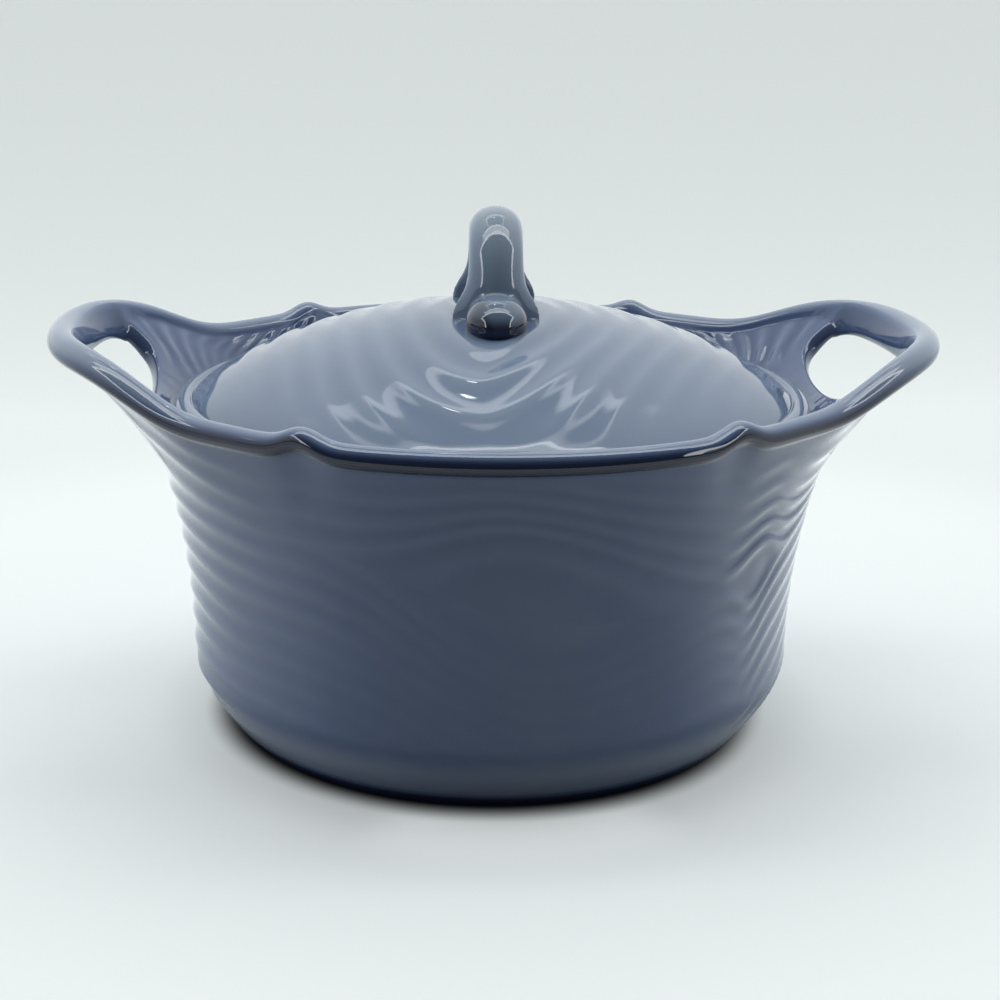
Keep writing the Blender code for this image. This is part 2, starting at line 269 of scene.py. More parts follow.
def fold_lift(azimuth):
    """Lift of the pinched folds, a pair on each side of every handle."""
    away = np.abs(azimuth - np.pi * np.round(azimuth / np.pi))
    return FOLD_HEIGHT * np.exp(-(((away - FOLD_ANGLE) / FOLD_WIDTH) ** 2))


def draw_out(radius, height, out_share, up_share, azimuth):
    """Section points at an azimuth, with the handle and the folds drawn out of the rim."""
    reach, rise = handle_pull(azimuth)
    growth = np.where(out_share == 1.0, HANDLE_BEAD_GROWTH * reach / RIGHT_HANDLE_REACH, 0.0)
    radius = radius + (radius - BEAD_CENTRE[0]) * growth + reach * out_share
    height = height + (height - BEAD_CENTRE[1]) * growth + (rise + fold_lift(azimuth)) * up_share
    return radius, height


def turn_on_wheel(section, steps, first_fine):
    """A bmesh of a section spun round Z, drawn finer from a station on. Its layers keep each vertex's station
    and azimuth step."""
    shape = bmesh.new()
    station = shape.verts.layers.int.new("station")
    step = shape.verts.layers.int.new("step")
    shape.verts.layers.int.new("wall_ring")
    line = []
    for i, (radius, height, _, _) in enumerate(section.stations):
        vertex = shape.verts.new((radius, 0.0, height))
        vertex[station] = i
        line.append(vertex)
    edges = [shape.edges.new(pair) for pair in zip(line, line[1:])]
    bmesh.ops.spin(
        shape,
        geom=line + edges,
        axis=(0, 0, 1),
        cent=(0, 0, 0),
        angle=2 * math.pi,
        steps=steps // FINE_CUTS,
        use_merge=True,
    )
    bmesh.ops.remove_doubles(shape, verts=shape.verts, dist=MERGE_DISTANCE)
    hoops = [edge for edge in shape.edges if edge.verts[0][station] == edge.verts[1][station] >= first_fine]
    bmesh.ops.subdivide_edges(shape, edges=hoops, cuts=FINE_CUTS - 1)
    for vertex in shape.verts:
        vertex[step] = round(math.atan2(vertex.co.y, vertex.co.x) / (2 * math.pi) * steps) % steps
    return shape


def draw_ring(shape, edges):
    """Draws a closed ring of edges out into a new one. Returns the new ring's edges and vertices."""
    made = bmesh.ops.extrude_edge_only(shape, edges=edges)["geom"]
    raised = [part for part in made if isinstance(part, bmesh.types.BMVert)]
    fresh = set(raised)
    made = [part for part in made if isinstance(part, bmesh.types.BMEdge)]
    return [edge for edge in made if all(vertex in fresh for vertex in edge.verts)], raised


def hole_patches(section):
    """Middle stations of the patches of grid on a handle's inner and outer faces."""
    inner = section.runs["gallery"][0] + HOLE_ACROSS
    outer = section.runs["bead"][1] - 1 + HOLE_ACROSS
    return inner, outer


def place_in_patch(station, step, middle, handle_step, towards_bar):
    """Grid place of vertices in a hand hole's patch, along the rim and across it towards the bar."""
    along = (step - handle_step + DISH_STEPS // 2) % DISH_STEPS - DISH_STEPS // 2
    return along, (station - middle) * towards_bar


def cut_hand_hole(shape, section, handle_step):
    """Opens a hand hole in the grid of both handle faces and joins the two edges by a wall of rings."""
    station = shape.verts.layers.int["station"]
    step = shape.verts.layers.int["step"]
    wall_ring = shape.verts.layers.int["wall_ring"]
    inner, outer = hole_patches(section)
    edge_along = round(HOLE_ALONG * HOLE_EDGE_SHARE)
    edge_across = round(HOLE_ACROSS * HOLE_EDGE_SHARE)

    def gather(middle, towards_bar):
        found = {}
        for vertex in shape.verts:
            along, across = place_in_patch(vertex[station], vertex[step], middle, handle_step, towards_bar)
            if abs(along) <= edge_along and abs(across) <= edge_across:
                found[vertex] = (along, across)
        return found

    upper = gather(inner, 1)
    lower = gather(outer, -1)
    doomed = [
        face
        for face in shape.faces
        if all(vertex in upper for vertex in face.verts) or all(vertex in lower for vertex in face.verts)
    ]
    bmesh.ops.delete(shape, geom=doomed, context="FACES")

    upper = {vertex: place for vertex, place in upper.items() if vertex.is_valid}
    lower = {place: vertex for vertex, place in lower.items() if vertex.is_valid}
    edges = [edge for edge in shape.edges if edge.is_boundary and all(v in upper for v in edge.verts)]
    for ring in range(1, HOLE_WALL_RINGS + 1):
        edges, raised = draw_ring(shape, edges)
        for vertex in raised:
            vertex[wall_ring] = ring
    landing = {
        vertex: lower[place_in_patch(vertex[station], vertex[step], inner, handle_step, 1)] for vertex in raised
    }
    bmesh.ops.weld_verts(shape, targetmap=landing)


def hole_outline(along, across):
    """Unit outline of a hand hole in the direction of a patch place: square at the bar, round at the lid."""
    angle = np.arctan2(across / HOLE_ACROSS, along / HOLE_ALONG)
    power = np.where(across > 0, HAND_HOLE_BAR_SQUARENESS, HAND_HOLE_LAND_SQUARENESS)
    size = (np.abs(np.cos(angle)) ** power + np.abs(np.sin(angle)) ** power) ** (-1 / power)
    return size * np.cos(angle), size * np.sin(angle)


def hole_edge(handle, along, across, opening, land_opening):
    """Azimuth and radius of a hand hole's edge, opened by a rounding beyond its waist."""
    land = GALLERY_RADIUS + HAND_HOLE_LAND
    bar = RIM_RADIUS + handle_pull(np.array(handle))[0] - HAND_HOLE_BAR
    ends, sides = hole_outline(along, across)
    radius = (land + bar) / 2 + sides * ((bar - land) / 2 + np.where(sides < 0, land_opening, opening))
    return handle + ends * (HAND_HOLE_SPAN / 2 + opening / radius), radius


def on_face(table, run, azimuth, radius):
    """Height of a handle's inner or outer face at plan points, from its run of stations."""
    columns = [column[run[0] : run[1], None] for column in table]
    radii, heights = draw_out(*columns, azimuth[None, :])
    if radii[0, 0] > radii[-1, 0]:
        radii, heights = radii[::-1], heights[::-1]
    radii = np.maximum.accumulate(radii, axis=0)
    return np.array([np.interp(r, radii[:, i], heights[:, i]) for i, r in enumerate(radius)])


def face_runs(section):
    """Runs of stations whose radius grows steadily: the handle's inner face and its outer face."""
    bead = section.runs["bead"]
    crest = bead[0] + (bead[1] - bead[0]) // 2
    return (section.runs["ledge"][1] - 1, crest), (bead[1] - 1, section.runs["wall"][0] + OUTER_WALL_STATIONS)


def wing_middle(azimuth, radius):
    """Height of the middle of the handle's thickness at plan points."""
    start = (GALLERY_RADIUS + LEDGE_WALL / 2, LEDGE_HEIGHT - LEDGE_THICKNESS)
    reach, rise = handle_pull(azimuth)
    slope = (BEAD_CENTRE[1] + rise - start[1]) / (BEAD_CENTRE[0] + reach - start[0])
    return start[1] + slope * (radius - start[0])


def cylinder_point(azimuth, radius, height):
    """Points in space of azimuths, radii and heights."""
    return np.stack([radius * np.cos(azimuth), radius * np.sin(azimuth), height], axis=-1)


def place_dish(section, station, step, wall_ring):
    """Places every vertex of the dish's grid, and says how far each one is from a hand hole's edge."""
    table = section.table()
    azimuth = step * (2 * math.pi / DISH_STEPS)
    radius, height = draw_out(*table[:, station], azimuth)
    clear_of_hole = np.ones(len(station))
    inner, outer = hole_patches(section)
    inner_run, outer_run = face_runs(section)
    points = cylinder_point(azimuth, radius, height)

    for handle, handle_step in ((0.0, 0), (math.pi, DISH_STEPS // 2)):
        for middle, towards_bar, run, land_opening in (
            (inner, 1, inner_run, HAND_HOLE_EDGE_RADIUS),
            (outer, -1, outer_run, 0.0),
        ):
            along, across = place_in_patch(station, step, middle, handle_step, towards_bar)
            share = np.maximum(np.abs(along) / HOLE_ALONG, np.abs(across) / HOLE_ACROSS)
            held = np.flatnonzero((share < 1) & (share > 0) & (wall_ring == 0))
            along, across, share = along[held], across[held], share[held]
            hole_az, hole_r = hole_edge(handle, along, across, HAND_HOLE_EDGE_RADIUS, land_opening)
            border_az = handle + along / share * (2 * math.pi / DISH_STEPS)
            border_station = middle + across / share * towards_bar
            low = np.floor(border_station).astype(int)
            part = border_station - low
            columns = table[:, low] * (1 - part) + table[:, np.minimum(low + 1, table.shape[1] - 1)] * part
            border_r, _ = draw_out(*columns, border_az)
            way = (share - HOLE_EDGE_SHARE) / (1 - HOLE_EDGE_SHARE)
            az = hole_az + (border_az - hole_az) * way
            r = hole_r + (border_r - hole_r) * way
            points[held] = cylinder_point(az, r, on_face(table, run, az, r))
            clear_of_hole[held] = way

        along, across = place_in_patch(station, step, inner, handle_step, 1)
        near = (np.abs(along) <= HOLE_ALONG) & (np.abs(across) <= HOLE_ACROSS)
        held = np.flatnonzero(near & (wall_ring > 0))
        along, across = along[held], across[held]
        az, r = hole_edge(handle, along, across, HAND_HOLE_EDGE_RADIUS, HAND_HOLE_EDGE_RADIUS)
        top = cylinder_point(az, r, on_face(table, inner_run, az, r))
        az, r = hole_edge(handle, along, across, HAND_HOLE_EDGE_RADIUS, 0.0)
        bottom = cylinder_point(az, r, on_face(table, outer_run, az, r))
        az, r = hole_edge(handle, along, across, 0.0, 0.0)
        waist = cylinder_point(az, r, wing_middle(az, r))
        turn = (math.pi * wall_ring[held] / HOLE_WALL_RINGS)[:, None]
        middle = (top + bottom) / 2
        points[held] = middle + (top - bottom) / 2 * np.cos(turn) + (waist - middle) * np.sin(turn)
        clear_of_hole[held] = 0.0
    return points, azimuth, clear_of_hole


def smooth_step(low, high, value):
    """Eases from 0 at low to 1 at high."""
    way = np.clip((value - low) / (high - low), 0, 1)
    return way * way * (3 - 2 * way)


# The carved grain, in millimetres: the flowing lines of a flat-sawn plank, parted round an eye and a knot.
GRAIN_PITCH = 9.4
GRAIN_DEPTH = 0.90
GRAIN_WRAP = 112.0
GRAIN_EASE = 62.0
CREST_SHARPNESS = 0.12
# Where the grain parts: along the wall from the panel's middle, and height.
PARTING = (
    (-212, 89), (-176, 97), (-145, 100), (-115, 97), (-85, 93), (-50, 87), (-25, 78),
    (0, 70.5), (30, 68), (60, 69.5), (95, 75), (140, 89), (176, 97), (207, 100),
)  # fmt: skip
PARTING_ROUNDS = 12
SMALLEST_PART = 1e-6
# By the rim, over this run right of the middle, the lines are level, as if parted at this height.
LEVEL_BY_RIM = 70.0
BY_RIM = (80, 108)
LEVEL_START = (20, 70)
LEVEL_END = (176, 130)
EYE_LEFT = 38.0
EYE_RIGHT = 52.0
EYE_UP = 31.0
EYE_DOWN = 20.0
EYE_CROWDING = 0.55
KNOT_PLACE = 90.0
KNOT_WIDTH = 12.0
KNOT_UP = 9.0
KNOT_DOWN = 10.0
KNOT_REACH = 20.0
KNOT_STRENGTH = 0.55
# The lines wander a little and are cut unevenly deep: shallow in the panel's middle, nearly smooth low down in it.
GRAIN_WANDER = 0.28
GRAIN_STRENGTH = 0.75
GRAIN_UNEVENNESS = 0.40
GRAIN_STRENGTH_RANGE = (0.25, 1.15)
SHALLOW_MIDDLE = -5.0
SHALLOW_SHARE = 0.29
SHALLOW_REACH = (50, 98)
SMOOTHED = 0.70
SMOOTH_LEVEL = (80, 50)
SMOOTH_REACH = (125, 75)
# The grain fades out at the foot and is faint by the rim, in metres.
GRAIN_FOOT_FADE = (6 * MM, 20 * MM)
GRAIN_FOOT_END = (0.0, 6 * MM)
GRAIN_RIM_FADE = (121 * MM, 110 * MM)
GRAIN_FAINT = 0.12
# Ribs inside the handles, leaning out from the handle's axis.
WING_GRAIN_ANGLE = math.radians(3.6)
WING_GRAIN_DEPTH = 1.15
WING_GRAIN_LEAN = 0.16
WING_GRAIN_WANDER = 0.45
WING_GRAIN_STRENGTH = 0.75
WING_GRAIN_UNEVENNESS = 0.45
WING_GRAIN_LOW = (0.0, 0.25)
WING_GRAIN_HIGH = (1.0, 0.75)
HOLE_CALM = (0.05, 0.8)
# Rings on the lid, drawn out to the front, where they lean to one side.
LID_GRAIN_PITCH = 10.8
LID_GRAIN_DEPTH = 0.62
LID_GRAIN_STRETCH = 0.52
LID_GRAIN_POINT = 1.6
LID_GRAIN_FORWARD = 4.0
LID_GRAIN_LEAN = 10.0
LID_GRAIN_LEAN_RUN = (10, 80)
LID_GRAIN_WANDER = 0.22
LID_GRAIN_STRENGTH = 0.85
LID_GRAIN_UNEVENNESS = 0.35
LID_GRAIN_STRENGTH_RANGE = (0.3, 1.2)
LID_GRAIN_EDGE = (2 * MM, 23 * MM)
LID_GRAIN_MIDDLE = (6 * MM, 18 * MM)
# The slow waves of hand carving: their lengths across and along, and where they start.
WALL_COURSE_WAVE = (1 / 3, 22, 0, 0)
WALL_DEPTH_WAVE = (1 / 4, 26, 2, 1)
WING_COURSE_WAVE = (1 / 9, 1 / 3, 0, 0)
WING_DEPTH_WAVE = (1 / 13, 1 / 4, 1, 0)
LID_COURSE_WAVE = (27, 23, 0, 0)
LID_DEPTH_WAVE = (31, 27, 1, 3)


def carved_line(turns):
    """Section of a carved grain line by its count of turns: a crest a little narrower than the hollows beside it."""
    return np.cos(2 * np.pi * turns) + CREST_SHARPNESS * np.cos(4 * np.pi * turns)


def drift(x, y, wave):
    """Slow unevenness of hand carving, about -1 to 1: two crossed waves."""
    x, y = x / wave[0] + wave[2], y / wave[1] + wave[3]
    return 0.5 * np.sin(x + 1.7 * np.sin(0.6 * y + 0.4)) + 0.5 * np.sin(1.3 * y - x + 1.1)


def through(points, place):
    """Smooth curve through points, read at places."""
    x, y = np.array(points, dtype=float).T
    slope = np.gradient(y, x)
    i = np.clip(np.searchsorted(x, place) - 1, 0, len(x) - 2)
    width = x[i + 1] - x[i]
    t = (place - x[i]) / width
    start = (1 + 2 * t) * (1 - t) ** 2 * y[i] + t * (1 - t) ** 2 * width * slope[i]
    return start + t * t * (3 - 2 * t) * y[i + 1] + t * t * (t - 1) * width * slope[i + 1]


def wall_grain(azimuth, height):
    """Grain lines on the outer wall: a front and a back panel, each flowing level from the handles and parting
    round an eye in its middle and a knot beside it. Returns the height of the relief, about -1 to 1."""
    panel = np.where(azimuth > np.pi, azimuth - 1.5 * np.pi, azimuth - 0.5 * np.pi)
    along = panel * GRAIN_WRAP
    level = height / MM
    parting = through(PARTING, along)
    by_rim = smooth_step(*BY_RIM, level) * smooth_step(*LEVEL_START, along) * smooth_step(*LEVEL_END, along)
    rise = level - parting - (LEVEL_BY_RIM - parting) * by_rim
    eye = np.exp(-((along / np.where(along < 0, EYE_LEFT, EYE_RIGHT)) ** 2))
    knot = np.exp(-(((along - KNOT_PLACE) / KNOT_WIDTH) ** 2))
    part = np.where(rise > 0, EYE_UP * eye + KNOT_UP * knot, EYE_DOWN * eye + KNOT_DOWN * knot)
    climb = np.abs(rise)
    line = np.maximum(climb - part, 0)
    for _ in range(PARTING_ROUNDS):
        pull = part * np.exp(-line / GRAIN_EASE)
        line = line - (line + pull - climb) / (1 - pull / GRAIN_EASE)
    within = climb < part
    ring = np.where(within, (climb / np.maximum(part, SMALLEST_PART)) ** 2 - 1, 0) * part * EYE_CROWDING
    turns = np.where(within, ring, line) / GRAIN_PITCH + GRAIN_WANDER * drift(azimuth, level, WALL_COURSE_WAVE)
    strength = GRAIN_STRENGTH + GRAIN_UNEVENNESS * drift(azimuth, level, WALL_DEPTH_WAVE)
    away = np.abs(along - SHALLOW_MIDDLE)
    strength = np.clip(strength, *GRAIN_STRENGTH_RANGE)
    strength = strength * (SHALLOW_SHARE + (1 - SHALLOW_SHARE) * smooth_step(*SHALLOW_REACH, away))
    smooth_below = smooth_step(*SMOOTH_LEVEL, level) * smooth_step(*SMOOTH_REACH, away)
    by_knot = np.exp(-(((along - KNOT_PLACE) / KNOT_REACH) ** 2) - (rise / KNOT_REACH) ** 2)
    return carved_line(turns) * (strength * (1 - SMOOTHED * smooth_below) + KNOT_STRENGTH * by_knot)


def make_piece(name, shape, points=None, relief=None, materials=()):
    """Closes a bmesh into a named object, its vertices moved to their places and pushed out by the relief."""
    bmesh.ops.recalc_face_normals(shape, faces=shape.faces)
    mesh = bpy.data.meshes.new(name)
    shape.to_mesh(mesh)
    shape.free()
    if points is not None:
        mesh.vertices.foreach_set("co", points.ravel())
        mesh.update()
        normals = np.empty(len(mesh.vertices) * 3)
        mesh.vertices.foreach_get("normal", normals)
        pushed = points + normals.reshape(-1, 3) * relief[:, None]
        mesh.vertices.foreach_set("co", pushed.ravel())
        mesh.update()
    mesh.shade_smooth()
    for material in materials:
        mesh.materials.append(material)
    piece = bpy.data.objects.new(name, mesh)
    bpy.context.scene.collection.objects.link(piece)
    return piece


def layer_values(shape, *names):
    """Vertex layers of a bmesh as arrays."""
    layers = [shape.verts.layers.int[name] for name in names]
    return [np.array([vertex[layer] for vertex in shape.verts]) for layer in layers]


def keep_value(piece, name, values):
    """Keeps a number per vertex for the glaze to read."""
    attribute = piece.data.attributes.new(name, "FLOAT", "POINT")
    attribute.data.foreach_set("value", values.astype(np.float32))


def carve_dish(section, station, wall_ring, azimuth, clear_of_hole):
    """Relief in millimetres of the grain on the outer wall and of the ribs inside the handles."""
    height = section.table()[1][station]
    outside = (station >= section.runs["wing"][0]) & (station < section.runs["wall"][1]) & (wall_ring == 0)
    fade = smooth_step(*GRAIN_FOOT_FADE, height) * smooth_step(*GRAIN_RIM_FADE, height)
    fade = (GRAIN_FAINT + (1 - GRAIN_FAINT) * fade) * smooth_step(*GRAIN_FOOT_END, height)
    grain = np.where(outside, wall_grain(azimuth, height) * fade, 0)

    start, end = section.runs["gallery"]
    inside_handle = (station >= start) & (station < end) & (wall_ring == 0)
    way = np.clip((station - start) / (end - start), 0, 1)
    upright = azimuth - WING_GRAIN_LEAN * np.sin(2 * azimuth) * way
    turns = upright / WING_GRAIN_ANGLE + WING_GRAIN_WANDER * drift(azimuth, way, WING_COURSE_WAVE)
    ribs = carved_line(turns) * smooth_step(*WING_GRAIN_LOW, way) * smooth_step(*WING_GRAIN_HIGH, way)
    ribs = ribs * (WING_GRAIN_STRENGTH + WING_GRAIN_UNEVENNESS * drift(azimuth, way, WING_DEPTH_WAVE))
    relief = grain * GRAIN_DEPTH / 2 + np.where(inside_handle, ribs, 0) * WING_GRAIN_DEPTH / 2
    return relief * smooth_step(*HOLE_CALM, clear_of_hole)


# How the glaze lies on the dish, from dark, -1, to pale, 1: thin and pale over the grain's crests and pooled in its
# hollows; paler over the lip's top and the bars, part thin glaze and part painted light; painted shade under the lip,
# in the hand holes and at the foot's edge; painted light on the turn of the foot. Degrees are those of the lip's run.
LIP_TILT = 45
LIP_INSIDE = (170, 130)
LIP_OUTSIDE = (30, 70)
# The turn of the lip under which shade is painted.
LIP_SHADE_TURN = (48, 12)
FOOT_EDGE = (6.4 * MM, 2 * MM)
FOOT_TURN_LOW = (4 * MM, 8 * MM)
FOOT_TURN_HIGH = (24 * MM, 14 * MM)
GLAZE_ON_GRAIN = 0.16
# Painted shade on the hand holes' walls.
SHADE_PAINTED_IN_HOLE = -0.30
# Paler over the lip's top and the bars' tops: thin glaze and painted light.
GLAZE_AND_LIGHT_ON_LIP = 0.45
GLAZE_AND_LIGHT_ON_BAR = 0.28
# Painted shade under the lip, with less of it under the handles' bars.
SHADE_PAINTED_UNDER_LIP = -1.1
LESS_SHADE_UNDER_BAR = 0.4
# Painted light on the turn of the foot.
LIGHT_PAINTED_ON_FOOT_TURN = 0.38
# Painted shade at the foot's edge.
SHADE_PAINTED_AT_FOOT_EDGE = -1.4


def glaze_and_shade_dish(section, station, wall_ring, azimuth, relief):
    """How the glaze lies on the dish's vertices, with the painted shade and painted light that it carries."""
    height = section.table()[1][station]
    bead = section.runs["bead"]
    turn = BEAD_START + (BEAD_END - BEAD_START) * (station - bead[0]) / (BEAD_STATIONS - 1)
    reach = handle_pull(azimuth)[0] / RIGHT_HANDLE_REACH
    tilted = turn + LIP_TILT * reach
    on_lip = (station >= bead[0]) & (station < bead[1])
    # Painted shade under the lip.
    shade_under_lip = smooth_step(*LIP_SHADE_TURN, tilted) * on_lip * (wall_ring == 0)
    # Paler over the lip's top: thin glaze and painted light.
    thin_and_lit = smooth_step(*LIP_INSIDE, turn) * smooth_step(*LIP_OUTSIDE, tilted) * on_lip
    below = station >= section.runs["wall"][0]
    # Painted light on the turn of the foot.
    foot_turn_light = smooth_step(*FOOT_TURN_LOW, height) * smooth_step(*FOOT_TURN_HIGH, height) * below
    # Painted shade at the foot's edge.
    foot_edge_shade = smooth_step(*FOOT_EDGE, height) * below
    glaze = GLAZE_ON_GRAIN * relief / (GRAIN_DEPTH / 2)
    # Painted shade on the hand holes' walls; elsewhere thin glaze and painted light over the lip's top and the bars.
    glaze = glaze + np.where(wall_ring > 0, SHADE_PAINTED_IN_HOLE, thin_and_lit * (GLAZE_AND_LIGHT_ON_LIP + GLAZE_AND_LIGHT_ON_BAR * reach))
    glaze = glaze + SHADE_PAINTED_UNDER_LIP * shade_under_lip * (1 - LESS_SHADE_UNDER_BAR * reach)
    return glaze + LIGHT_PAINTED_ON_FOOT_TURN * foot_turn_light + SHADE_PAINTED_AT_FOOT_EDGE * foot_edge_shade


def build_dish(materials):
    """The dish: turned, drawn out into handles, pierced, and carved with grain."""
    section = dish_section()
    shape = turn_on_wheel(section, DISH_STEPS, section.runs["ledge"][0])
    for handle_step in (0, DISH_STEPS // 2):
        cut_hand_hole(shape, section, handle_step)
    station, step, wall_ring = layer_values(shape, "station", "step", "wall_ring")
    points, azimuth, clear_of_hole = place_dish(section, station, step, wall_ring)
    relief = carve_dish(section, station, wall_ring, azimuth, clear_of_hole)
    dish = make_piece("dish_body", shape, points, relief * MM, materials)
    # Its glaze values also carry painted shade and painted light.
    keep_value(dish, "glaze", glaze_and_shade_dish(section, station, wall_ring, azimuth, relief))
    return dish


def dome_section(radius, base, top, count):
    """Section of a dome from its middle to its edge."""
    angles = spread(count, 0, math.pi / 2)
    return [(radius * math.sin(a), base + (top - base) * max(0.0, math.cos(a)) ** LID_DOME_POWER) for a in angles]


def lid_section():
    """The lid from the dome's middle round the flange and skirt to the inside's middle."""
    section = Section()
    half = LID_FLANGE_THICKNESS / 2
    skirt = LEDGE_RADIUS - LID_SKIRT_CLEARANCE
    skirt_low = LID_SEAT - LID_SKIRT_DEPTH
    skirt_round = LID_SKIRT_WALL / 2
    dome = dome_section(LID_DOME_RADIUS, LID_DOME_BASE, LID_APEX, DOME_STATIONS)
    section.add("dome", dome[:-1])
    turns = [math.radians(degrees) for degrees in spread(LID_ROLL_STATIONS, LID_ROLL_START, -90)]
    middle = (LID_RADIUS - LID_ROLL_WIDTH / 2, LID_SEAT + half)
    rise = LID_ROLL_HEIGHT - half
    roll = [
        (middle[0] + LID_ROLL_WIDTH / 2 * math.cos(a), middle[1] + (rise if a > 0 else half) * math.sin(a))
        for a in turns
    ]
    section.add("flange", [dome[-1]] + roll)
    skirt_middle = (skirt - skirt_round, skirt_low + skirt_round)
    skirt_turns = spread(LID_SKIRT_STATIONS, 0, -180)
    section.add("skirt", [(skirt, LID_SEAT)] + arc(skirt_middle, skirt_round, skirt_turns))
    inside = dome_section(skirt - LID_SKIRT_WALL, LID_SEAT, LID_APEX - LID_WALL, LID_INSIDE_STATIONS)
    section.add("inside", inside[::-1])
    return section


def lid_grain(x, y):
    """Grain rings round the knob, drawn out into points towards the front and the back."""
    along = np.abs(y + LID_GRAIN_FORWARD) * LID_GRAIN_STRETCH
    across = np.abs(x + LID_GRAIN_LEAN * smooth_step(*LID_GRAIN_LEAN_RUN, -y))
    ring = (across**LID_GRAIN_POINT + along**LID_GRAIN_POINT) ** (1 / LID_GRAIN_POINT)
    turns = ring / LID_GRAIN_PITCH + LID_GRAIN_WANDER * drift(x, y, LID_COURSE_WAVE)
    strength = LID_GRAIN_STRENGTH + LID_GRAIN_UNEVENNESS * drift(x, y, LID_DEPTH_WAVE)
    return carved_line(turns) * np.clip(strength, *LID_GRAIN_STRENGTH_RANGE)


# The glaze on the lid is thin over the crests; the lid is also painted paler towards the front, painted light.
LID_FRONT = (20 * MM, 75 * MM)
GLAZE_ON_LID_GRAIN = 0.12
LIGHT_PAINTED_ON_LID_FRONT = 0.13


def build_lid(materials):
    """The lid: turned, and carved with rings of grain round its knob."""
    section = lid_section()
    shape = turn_on_wheel(section, LID_STEPS, 0)
    station, step = layer_values(shape, "station", "step")
    radius, height, _, _ = section.table()[:, station]
    points = cylinder_point(step * (2 * math.pi / LID_STEPS), radius, height)
    reach = np.hypot(points[:, 0], points[:, 1])
    fade = smooth_step(*LID_GRAIN_EDGE, LID_DOME_RADIUS - reach) * smooth_step(*LID_GRAIN_MIDDLE, reach)
    grain = lid_grain(points[:, 0] / MM, points[:, 1] / MM) * fade
    relief = np.where(station < section.runs["dome"][1], grain, 0) * LID_GRAIN_DEPTH / 2
    lid = make_piece("lid_dome", shape, points, relief * MM, materials)
    # Painted light: paler towards the front.
    front_light_painted = smooth_step(*LID_FRONT, -points[:, 1])
    keep_value(lid, "glaze", GLAZE_ON_LID_GRAIN * relief / (LID_GRAIN_DEPTH / 2) + LIGHT_PAINTED_ON_LID_FRONT * front_light_painted)
    return lid


KNOB_SIDES = 32
KNOB_STATIONS = 48
KNOB_VOXEL = 0.5 * MM
KNOB_SMOOTHING = 8
SMOOTHING_SHARE = 0.5
# The twig as it was set by hand: turned a little on the lid, rounder outside than inside, its feet flattened and
# splayed late and only at their sides.
KNOB_TURN = math.radians(-4.1)
KNOB_SHIFT = 0.7 * MM
TWIG_WIDTH = 18.9 * MM
TWIG_OUTER_ROUND = 8.4 * MM
TWIG_INNER_ROUND = 4.8 * MM
TWIG_FOOT_WIDTH = 30.6 * MM
TWIG_FOOT_FLARE = 7.4 * MM
TWIG_FOOT_FLATTENING = 0.3
TWIG_SPLAY_POWER = 1.3
NOSE_REACH = 24.0 * MM
NOSE_WIDTH = 21.2 * MM
NOSE_HEIGHT = 8.2 * MM
NOSE_LENGTH = 27.0 * MM
NOSE_RINGS = 20
# Its spine and crown are painted paler, painted light; its noses' lower parts are painted darker, painted shade, and
# where the noses meet the lid painted shade joins the glaze pooled there.
KNOB_SPINE = (8 * MM, 3 * MM)
KNOB_CROWN = (16 * MM, 34 * MM)
KNOB_NOSE = (29 * MM, 33 * MM)
KNOB_NOSE_TOP = (9 * MM, 6 * MM)
KNOB_POOL_AND_SHADE = (24 * MM, 32 * MM)
KNOB_POOL_AND_SHADE_TOP = (4 * MM, -1.5 * MM)
GLAZE_ON_KNOB = -0.06
# Painted light along the spine and on the crown.
LIGHT_PAINTED_ON_SPINE = 0.46
LIGHT_PAINTED_ON_CROWN = 0.36
# Painted shade on the noses' lower parts; painted shade with pooled glaze where they meet the lid.
SHADE_PAINTED_ON_NOSE = -0.60
POOL_AND_SHADE_BY_LID = -0.80


def knob_ring(way):
    """Cross-section of the knob's arch: way runs from the front foot, 0, to the rear foot, 1."""
    angle = math.pi * way
    half_span = KNOB_SPAN / 2
    crown = KNOB_HEIGHT - TWIG_OUTER_ROUND + KNOB_ROOT_DEPTH
    centre = Vector((0, -half_span * math.cos(angle), crown * math.sin(angle) ** KNOB_ARCH_POWER))
    tilt = math.atan2(crown * math.cos(angle), half_span * math.sin(angle))
    above = max(0.0, centre.z - KNOB_ROOT_DEPTH)
    flare = math.exp(-((above / TWIG_FOOT_FLARE) ** 2))
    splay = (TWIG_FOOT_WIDTH - TWIG_WIDTH) / 2 * flare
    middle = centre + Vector((0, 0, LID_APEX - KNOB_ROOT_DEPTH))
    ring = []
    for i in range(KNOB_SIDES):
        turn = 2 * math.pi * i / KNOB_SIDES
        half_height = TWIG_OUTER_ROUND if math.sin(turn) > 0 else TWIG_INNER_ROUND
        lift = half_height * math.sin(turn) * (1 - TWIG_FOOT_FLATTENING * flare)
        half_width = TWIG_WIDTH / 2 + splay * (1 - abs(math.sin(turn))) ** TWIG_SPLAY_POWER
        offset = Vector((half_width * math.cos(turn), -lift * math.sin(tilt), lift * math.cos(tilt)))
        ring.append(middle + offset)
    return ring


